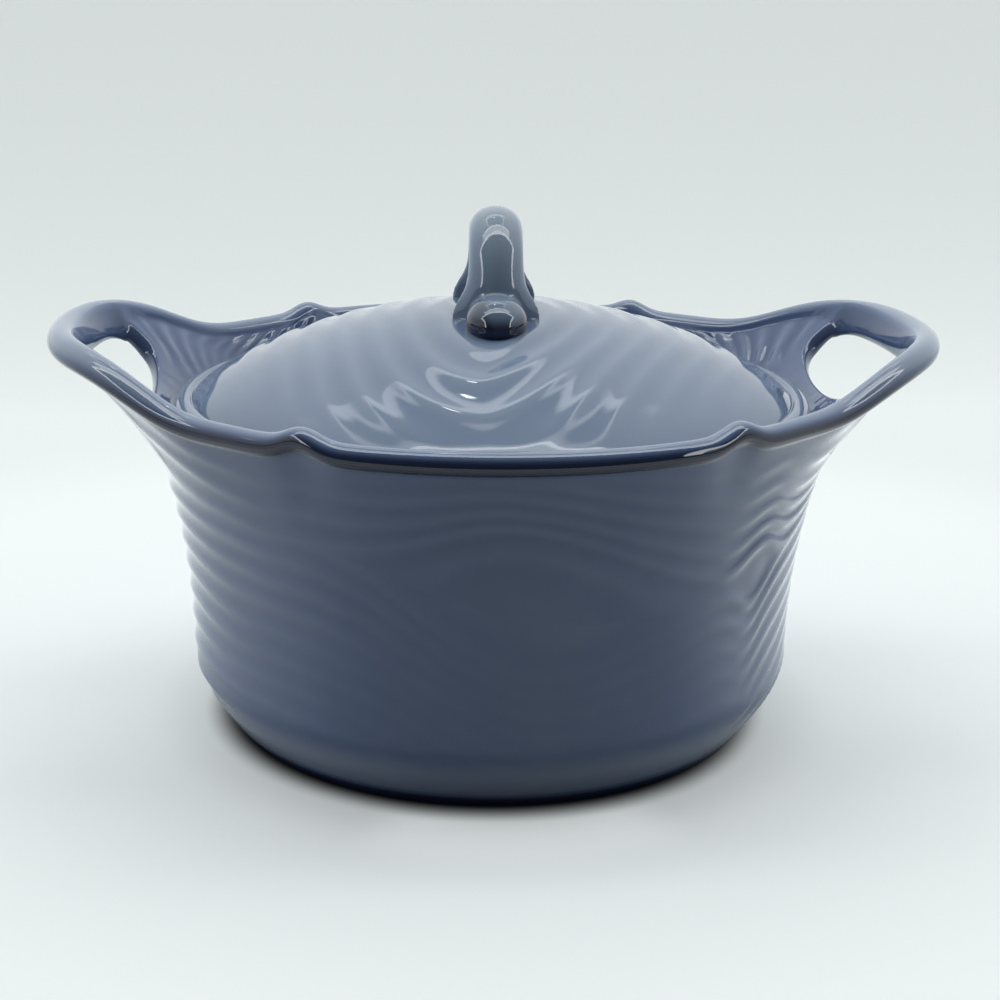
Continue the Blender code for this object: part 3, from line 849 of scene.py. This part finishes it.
def build_knob(materials):
    """The knob: a twig arched from front to back with a rounded nose on each foot, run together by the glaze."""
    shape = bmesh.new()
    rings = [knob_ring(way) for way in spread(KNOB_STATIONS)]
    ring = [shape.verts.new(point) for point in rings[0]]
    edges = [shape.edges.new((ring[i - 1], ring[i])) for i in range(KNOB_SIDES)]
    bmesh.ops.contextual_create(shape, geom=edges)
    for points in rings[1:]:
        edges, raised = draw_ring(shape, edges)
        for vertex, point in zip(raised, points):
            vertex.co = point
    bmesh.ops.contextual_create(shape, geom=edges)
    rise = NOSE_HEIGHT + KNOB_NOSE_SINK
    size = Matrix.Diagonal((NOSE_WIDTH, NOSE_LENGTH, 2 * rise, 1))
    for side in (-1, 1):
        place = (0, side * (KNOB_SPAN / 2 + NOSE_REACH - NOSE_LENGTH / 2), LID_APEX - KNOB_NOSE_SINK)
        bmesh.ops.create_uvsphere(
            shape, u_segments=KNOB_SIDES, v_segments=NOSE_RINGS, radius=0.5, matrix=Matrix.Translation(place) @ size
        )
    rough = make_piece("knob_rough", shape)
    remesh = rough.modifiers.new("run together", "REMESH")
    remesh.mode = "VOXEL"
    remesh.voxel_size = KNOB_VOXEL
    fused = bpy.data.meshes.new_from_object(rough.evaluated_get(bpy.context.evaluated_depsgraph_get()))
    shape = bmesh.new()
    shape.from_mesh(fused)
    for mesh in (rough.data, fused):
        bpy.data.meshes.remove(mesh)
    for _ in range(KNOB_SMOOTHING):
        bmesh.ops.smooth_vert(
            shape, verts=shape.verts, factor=SMOOTHING_SHARE, use_axis_x=True, use_axis_y=True, use_axis_z=True
        )
    bmesh.ops.rotate(shape, verts=shape.verts, cent=(0, 0, 0), matrix=Matrix.Rotation(KNOB_TURN, 3, "Z"))
    bmesh.ops.translate(shape, verts=shape.verts, vec=(KNOB_SHIFT, 0, 0))
    aside, reach, height = np.array([vertex.co for vertex in shape.verts]).T
    aside, reach, height = np.abs(aside), np.abs(reach), height - LID_APEX
    knob = make_piece("twig_knob", shape, materials=materials)
    # Painted light along the spine and on the crown.
    glaze = GLAZE_ON_KNOB + LIGHT_PAINTED_ON_SPINE * smooth_step(*KNOB_SPINE, aside)
    glaze = glaze + LIGHT_PAINTED_ON_CROWN * smooth_step(*KNOB_CROWN, height)
    # Painted shade on the noses' lower parts, and, with pooled glaze, where they meet the lid.
    glaze = glaze + SHADE_PAINTED_ON_NOSE * smooth_step(*KNOB_NOSE, reach) * smooth_step(*KNOB_NOSE_TOP, height)
    glaze = glaze + POOL_AND_SHADE_BY_LID * smooth_step(*KNOB_POOL_AND_SHADE, reach) * smooth_step(*KNOB_POOL_AND_SHADE_TOP, height)
    keep_value(knob, "glaze", glaze)
    return knob


def linear(hex_colour):
    """Linear colour of an sRGB hex value."""
    channels = [int(hex_colour[i : i + 2], 16) / 255 for i in (1, 3, 5)]
    return tuple(c / 12.92 if c <= 0.04045 else ((c + 0.055) / 1.055) ** 2.4 for c in channels) + (1.0,)


def add(tree, kind, values=(), **settings):
    """Adds a node with its settings; values are numbers, colours or other nodes' sockets for its inputs."""
    node = tree.nodes.new(kind)
    for name, value in settings.items():
        setattr(node, name, value)
    for name, value in dict(values).items():
        if isinstance(value, bpy.types.NodeSocket):
            tree.links.new(value, node.inputs[name])
        else:
            node.inputs[name].default_value = value
    return node


def arithmetic(tree):
    """Functions that add nodes to a tree and give their result: a sum of any kind, a product, a blend of two numbers
    and an eased range."""

    def sum_of(operation, first, second=0.0):
        return add(tree, "ShaderNodeMath", {0: first, 1: second}, operation=operation).outputs[0]

    def product(first, second):
        return sum_of("MULTIPLY", first, second)

    def blend(factor, none, full):
        return add(tree, "ShaderNodeMix", {0: factor, 2: none, 3: full}).outputs[0]

    def ease(value, low, high, start=0.0, end=1.0, kind="SMOOTHSTEP"):
        ends = {"Value": value, "From Min": low, "From Max": high, "To Min": start, "To Max": end}
        return add(tree, "ShaderNodeMapRange", ends, interpolation_type=kind).outputs["Result"]

    return sum_of, product, blend, ease


# The glaze's faint clouds, the ripple that it set with, and its gloss.
CLOUD_SIZE = 45 * MM
CLOUD_DETAIL = 3.0
CLOUD_SPREAD = (0.25, 0.75)
CLOUD_STRENGTH = 0.08
RIPPLE_SIZE = 6 * MM
RIPPLE_DETAIL = 1.0
RIPPLE_DEPTH = 0.3 * MM
RIPPLE_STRENGTH = 0.06
GLAZE_ROUGHNESS = 0.05
GLAZE_IOR = 1.52


def gloss_glaze(name, thin_and_lit, usual, pooled_and_shade):
    """Gloss glaze fired over stoneware: a clear, wet-looking coat that runs thin and pale over crests and edges
    and pools dark in hollows, with a faint cloudiness and the ripple that melted glass sets with. Its dark and pale
    colours also paint the shade and light carried by the vertices' glaze values."""
    material = bpy.data.materials.new(name)
    material.use_nodes = True
    tree = material.node_tree
    sum_of, _, _, ease = arithmetic(tree)
    shader = tree.nodes["Principled BSDF"]
    place = add(tree, "ShaderNodeTexCoord").outputs["Object"]
    coat = add(tree, "ShaderNodeAttribute", attribute_name="glaze").outputs["Fac"]
    clouds = add(tree, "ShaderNodeTexNoise", {"Vector": place, "Scale": 1 / CLOUD_SIZE, "Detail": CLOUD_DETAIL})
    cloud = ease(clouds.outputs["Fac"], *CLOUD_SPREAD, -CLOUD_STRENGTH, CLOUD_STRENGTH, "LINEAR")
    coat = ease(sum_of("ADD", coat, cloud), -1.0, 1.0, kind="LINEAR")
    colours = add(tree, "ShaderNodeValToRGB", {"Fac": coat})
    # The dark end stands for pooled glaze and painted shade, the pale end for thin glaze and painted light.
    colours.color_ramp.elements[0].color = linear(pooled_and_shade)
    colours.color_ramp.elements[1].color = linear(thin_and_lit)
    colours.color_ramp.elements.new(0.5).color = linear(usual)
    ripple = add(tree, "ShaderNodeTexNoise", {"Vector": place, "Scale": 1 / RIPPLE_SIZE, "Detail": RIPPLE_DETAIL})
    waves = {"Height": ripple.outputs["Fac"], "Strength": RIPPLE_STRENGTH, "Distance": RIPPLE_DEPTH}
    bump = add(tree, "ShaderNodeBump", waves)
    tree.links.new(colours.outputs["Color"], shader.inputs["Base Color"])
    tree.links.new(bump.outputs["Normal"], shader.inputs["Normal"])
    shader.inputs["Roughness"].default_value = GLAZE_ROUGHNESS
    shader.inputs["IOR"].default_value = GLAZE_IOR
    return material


# The floor, in metres from the dish's axis and in shares: 1 is the floor's own colour under full light.
FLOOR_RADIUS = 40.0
FLOOR_SIDES = 64
FLOOR_COLOUR = "#EBF0F0"
FLOOR_ROUGHNESS = 0.9
FLOOR_SHEEN = 0.1
# As the eye sees it: a painted fall-off of light, darker further away, and a glow of its own that is stronger near
# the dish and ahead of it, painted light that lifts the dish's shadow there.
FLOOR_SHADED = 0.64
FLOOR_FAR = 0.62
FLOOR_FALL = 0.17
FLOOR_FALL_START = 0.3
FLOOR_GLOW = 0.31
FLOOR_NEAR_GLOW = 0.075
FLOOR_NEAR = (0.104, 0.130)
FLOOR_NEAR_END = (0.30, 0.45)
FLOOR_FRONT_GLOW = 0.15
FLOOR_FRONT_START = (0.098, 0.108)
FLOOR_FRONT_END = (0.111, 0.145)
FLOOR_FRONT_TURN = (0.88, 0.97)
# Round the foot both are held back, a painted shadow that also dims the floor in reflections. On the right, away from
# the front, the painted dark ring is narrower.
FLOOR_PAINTED_SHADOW = (FOOT_RADIUS - 0.5 * MM, FOOT_RADIUS + 13 * MM)
FLOOR_PAINTED_SHADOW_SHIFT = 4 * MM
FLOOR_SHIFT_TURN = (0.95, 0.3)
FLOOR_SHIFT_RIGHT = (-0.08, 0.08)
# As the glaze mirrors it: brighter on both sides of the dish, and dark beyond the table's front edge.
FLOOR_FRONT = 0.42
FLOOR_FRONT_EDGE = 0.06
FLOOR_BEYOND = 0.1
FLOOR_REFLECTED_NEAR = 0.60
FLOOR_REFLECTED_FAR = 0.82
FLOOR_REFLECTED_RISE = (0.15, 0.27)
FLOOR_REFLECTED_GLOW = 0.10
FLOOR_LEFT_GLOW = 0.42
FLOOR_RIGHT_GLOW = 0.66
FLOOR_LEFT_TO_RIGHT = (-0.1, 0.1)
FLOOR_SIDE_TURN = (0.9, 0.25)
FLOOR_SIDE_START = (0.11, 0.16)
FLOOR_SIDE_END = (0.30, 0.40)
# As it throws light back at the dish.
FLOOR_BOUNCE = 0.28
SMALLEST_REACH = 0.01


def build_floor():
    """A wide pale floor that runs to the horizon. The eye sees it with part of its light its own, with painted light
    near the dish and a painted shadow round the foot that also dims its reflections; reflections see it bright at the
    sides and dark in front; it throws less light back than it shows."""
    shape = bmesh.new()
    bmesh.ops.create_circle(shape, cap_ends=True, segments=FLOOR_SIDES, radius=FLOOR_RADIUS)
    floor = make_piece("floor", shape)
    material = bpy.data.materials.new("matt paper floor")
    material.use_nodes = True
    tree = material.node_tree
    sum_of, product, blend, ease = arithmetic(tree)
    shader = tree.nodes["Principled BSDF"]
    ray = add(tree, "ShaderNodeLightPath").outputs
    mirrored = sum_of("MAXIMUM", ray["Is Glossy Ray"], ray["Is Transmission Ray"])
    spot = add(tree, "ShaderNodeSeparateXYZ", {0: add(tree, "ShaderNodeTexCoord").outputs["Object"]}).outputs
    x, y = spot["X"], spot["Y"]
    reach = sum_of("SQRT", sum_of("ADD", product(x, x), product(y, y)))
    front = sum_of("DIVIDE", product(y, -1.0), sum_of("MAXIMUM", reach, SMALLEST_REACH))

    def by_ray(seen, reflected, scattered):
        return blend(ray["Is Camera Ray"], blend(mirrored, scattered, reflected), seen)

    def belt(start, end):
        return sum_of("SUBTRACT", ease(reach, *start), ease(reach, *end))

    # A painted shadow round the foot: glow, shaded share and reflections held back, narrower on the right.
    shift = product(ease(front, *FLOOR_SHIFT_TURN), FLOOR_PAINTED_SHADOW_SHIFT)
    shift = product(shift, ease(x, *FLOOR_SHIFT_RIGHT))
    painted_shadow = ease(sum_of("ADD", reach, shift), *FLOOR_PAINTED_SHADOW)

    # Painted light near the dish and ahead of it, lifting its shadow there.
    near = product(belt(FLOOR_NEAR, FLOOR_NEAR_END), FLOOR_NEAR_GLOW)
    ahead = product(belt(FLOOR_FRONT_START, FLOOR_FRONT_END), ease(front, *FLOOR_FRONT_TURN))
    glow = sum_of("ADD", sum_of("ADD", FLOOR_GLOW, near), product(ahead, FLOOR_FRONT_GLOW))
    glow = product(glow, painted_shadow)
    # Painted fall-off of light: the floor darker further away to the front and back.
    fall = sum_of("DIVIDE", FLOOR_FALL, sum_of("MAXIMUM", sum_of("ABSOLUTE", y), FLOOR_FALL_START))
    fall = sum_of("MINIMUM", sum_of("ADD", fall, FLOOR_FAR), 1.0)
    seen = product(product(fall, FLOOR_SHADED), painted_shadow)

    on_table = ease(y, -FLOOR_FRONT - FLOOR_FRONT_EDGE, -FLOOR_FRONT, FLOOR_BEYOND, 1.0, "LINEAR")
    on_table = product(on_table, painted_shadow)
    mirrored_share = blend(ease(reach, *FLOOR_REFLECTED_RISE), FLOOR_REFLECTED_NEAR, FLOOR_REFLECTED_FAR)
    mirrored_share = product(on_table, mirrored_share)
    side_glow = ease(x, *FLOOR_LEFT_TO_RIGHT, FLOOR_LEFT_GLOW, FLOOR_RIGHT_GLOW, "LINEAR")
    side_glow = product(side_glow, ease(front, *FLOOR_SIDE_TURN))
    side_glow = product(side_glow, belt(FLOOR_SIDE_START, FLOOR_SIDE_END))
    mirrored_glow = product(on_table, sum_of("ADD", side_glow, FLOOR_REFLECTED_GLOW))

    share = by_ray(seen, mirrored_share, FLOOR_BOUNCE)
    colour = add(tree, "ShaderNodeMix", {0: share, 6: (0, 0, 0, 1), 7: linear(FLOOR_COLOUR)}, data_type="RGBA")
    tree.links.new(colour.outputs[2], shader.inputs["Base Color"])
    tree.links.new(by_ray(glow, mirrored_glow, 0.0), shader.inputs["Emission Strength"])
    shader.inputs["Emission Color"].default_value = linear(FLOOR_COLOUR)
    shader.inputs["Roughness"].default_value = FLOOR_ROUGHNESS
    shader.inputs["Specular IOR Level"].default_value = FLOOR_SHEEN
    floor.data.materials.append(material)


# The camera, fitted to the photograph: a square frame, aimed at the dish's axis.
SENSOR_WIDTH = 36.0
PIXELS_WIDE = 1000
FOCAL_PIXELS = 1812
CAMERA_PITCH = math.radians(16.48)
CAMERA_AZIMUTH = math.radians(-5.23)
CAMERA_ROLL = math.radians(0.52)
CAMERA_SHIFT = 0.0089
AIM_HEIGHT = 0.0767
AIM_DISTANCE = 0.6614
FURTHEST_SEEN = 100.0


def build_camera():
    """The camera at the photograph's angle."""
    data = bpy.data.cameras.new("camera")
    data.sensor_width = SENSOR_WIDTH
    data.lens = SENSOR_WIDTH * FOCAL_PIXELS / PIXELS_WIDE
    data.shift_x = CAMERA_SHIFT
    data.clip_end = FURTHEST_SEEN
    camera = bpy.data.objects.new("camera", data)
    aim = Matrix.Translation((0, 0, AIM_HEIGHT)) @ Matrix.Rotation(CAMERA_AZIMUTH, 4, "Z")
    aim = aim @ Matrix.Rotation(math.pi / 2 - CAMERA_PITCH, 4, "X")
    roll = Matrix.Rotation(CAMERA_ROLL, 4, "Z")
    camera.matrix_world = aim @ Matrix.Translation((0, 0, AIM_DISTANCE)) @ roll
    bpy.context.scene.collection.objects.link(camera)
    bpy.context.scene.camera = camera


# The light tent. Its roof is placed by the tangent of the angle from straight up: a strip lamp over the dish with a
# bright line at its back, then a dim panel with a bright rim and a soft line at its back, and one small spot.
TENT_COLOUR = "#F7FBFB"
LOWEST_UP = 0.02
LAMP_HALF_WIDTH = 0.80
LAMP_FRONT = 0.0
LAMP_BACK = 0.21
LAMP_LINE = 0.03
LAMP_LIGHT = 4.2
LINE_LIGHT = 8.0
ROOF_HALF_WIDTH = 0.38
ROOF_BACK = 0.81
ROOF_SQUARENESS = 4.0
ROOF_RIM = (0.84, 0.97)
ROOF_END = (1.0, 1.12)
ROOF_LIGHT = 0.8
EDGE_LIGHT = 2.8
BACK_LINE = 0.20
BACK_LINE_LIGHT = 3.0
BACK_LINE_ENDS = (0.26, 0.58)
SPOT_LIGHT = 14.0
SPOT_PLACE = (-0.03, 0.58)
SPOT_RADIUS = 0.03
# Its front stands open and dark; the bright frame round the opening shows only in reflections.
OPENING_HALF_WIDTH = 0.86
OPENING_EDGE = 0.10
OPENING_SIDE_EDGE = 0.06
OPENING_LIGHT = 0.14
OPENING_EDGE_LIGHT = 7.0
# Its walls are brighter towards the top; the light from its sides leans to the right and shows in no reflection.
WALL_RISE = (0.15, 0.8)
WALL_LIGHT = 1.04
HIGH_WALL_LIGHT = 1.26
SIDE_WALLS = (0.55, 0.95)
SIDE_WALL_LIGHT = 1.45
SIDE_LEAN = 0.02
# What the eye sees past the floor.
SEEN_LIGHT = 0.74


def build_light():
    """A light tent: pale walls, brighter towards the top, a strip lamp and a panel in the roof, and an open, dark
    front in a frame."""
    world = bpy.data.worlds.new("light tent")
    world.use_nodes = True
    tree = world.node_tree
    sum_of, product, blend, ease = arithmetic(tree)
    background = tree.nodes["Background"]

    def below(value, limit):
        return sum_of("LESS_THAN", value, limit)

    def between(value, low, high):
        return product(sum_of("GREATER_THAN", value, low), below(value, high))

    way = add(tree, "ShaderNodeSeparateXYZ", {0: add(tree, "ShaderNodeTexCoord").outputs["Generated"]}).outputs
    ray = add(tree, "ShaderNodeLightPath").outputs
    up = sum_of("MAXIMUM", way["Z"], LOWEST_UP)
    sideways = sum_of("ABSOLUTE", way["X"])
    back = sum_of("DIVIDE", way["Y"], up)
    across = sum_of("DIVIDE", sideways, up)

    tent = ease(way["Z"], *WALL_RISE, WALL_LIGHT, HIGH_WALL_LIGHT)
    side_light = blend(ray["Is Glossy Ray"], SIDE_WALL_LIGHT, 0.0)
    leaning = sum_of("ADD", sideways, product(way["X"], SIDE_LEAN))
    tent = sum_of("ADD", tent, ease(leaning, *SIDE_WALLS, 0.0, side_light))

    framed = product(below(back, LAMP_FRONT), below(sideways, OPENING_HALF_WIDTH))
    tent = blend(framed, tent, blend(ray["Is Glossy Ray"], OPENING_LIGHT, OPENING_EDGE_LIGHT))
    inside_frame = below(sideways, OPENING_HALF_WIDTH - OPENING_SIDE_EDGE)
    tent = blend(product(below(back, LAMP_FRONT - OPENING_EDGE), inside_frame), tent, OPENING_LIGHT)

    from_middle = sum_of("ABSOLUTE", sum_of("SUBTRACT", back, (LAMP_BACK + ROOF_BACK) / 2))
    roof_x = sum_of("POWER", sum_of("DIVIDE", across, ROOF_HALF_WIDTH), ROOF_SQUARENESS)
    roof_y = sum_of("POWER", sum_of("DIVIDE", from_middle, (ROOF_BACK - LAMP_BACK) / 2), ROOF_SQUARENESS)
    roof = sum_of("POWER", sum_of("ADD", roof_x, roof_y), 1 / ROOF_SQUARENESS)
    panel = ease(roof, *ROOF_RIM, ROOF_LIGHT, EDGE_LIGHT)
    tent = blend(ease(roof, *ROOF_END), panel, tent)
    line_depth = product(ease(back, ROOF_BACK - BACK_LINE, ROOF_BACK - BACK_LINE / 2), below(back, ROOF_BACK))
    tent = blend(product(ease(across, *BACK_LINE_ENDS, 1.0, 0.0), line_depth), tent, BACK_LINE_LIGHT)

    along_lamp = below(across, LAMP_HALF_WIDTH)
    tent = blend(product(along_lamp, between(back, LAMP_FRONT, LAMP_BACK)), tent, LAMP_LIGHT)
    tent = blend(product(along_lamp, between(back, LAMP_BACK - LAMP_LINE, LAMP_BACK)), tent, LINE_LIGHT)
    spot_x = sum_of("SUBTRACT", sum_of("DIVIDE", way["X"], up), SPOT_PLACE[0])
    spot_y = sum_of("SUBTRACT", back, SPOT_PLACE[1])
    from_spot = sum_of("ADD", product(spot_x, spot_x), product(spot_y, spot_y))
    tent = blend(below(from_spot, SPOT_RADIUS**2), tent, SPOT_LIGHT)
    tree.links.new(blend(ray["Is Camera Ray"], tent, SEEN_LIGHT), background.inputs["Strength"])
    background.inputs["Color"].default_value = linear(TENT_COLOUR)
    bpy.context.scene.world = world


bpy.context.scene.view_settings.view_transform = "Standard"
build_camera()
build_light()
build_floor()

# Each glaze: pale for thin glaze and painted light, usual, and dark for pooled glaze and painted shade.
dish = build_dish([gloss_glaze("slate blue gloss glaze, dish", "#98A5B6", "#54678C", "#122040")])
lid = build_lid([gloss_glaze("slate blue gloss glaze, lid", "#94A2B5", "#6C7D97", "#141F33")])
knob = build_knob([gloss_glaze("slate blue gloss glaze, knob", "#8F9DAC", "#6A7B92", "#0E1A33")])
for piece, body, node, slot in (
    (dish, "dish", "dish", "dish_glaze"),
    (lid, "lid", "lid", "lid_glaze"),
    (knob, "lid", "lid_knob", "knob_glaze"),
):
    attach(piece, body)
    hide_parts(node)
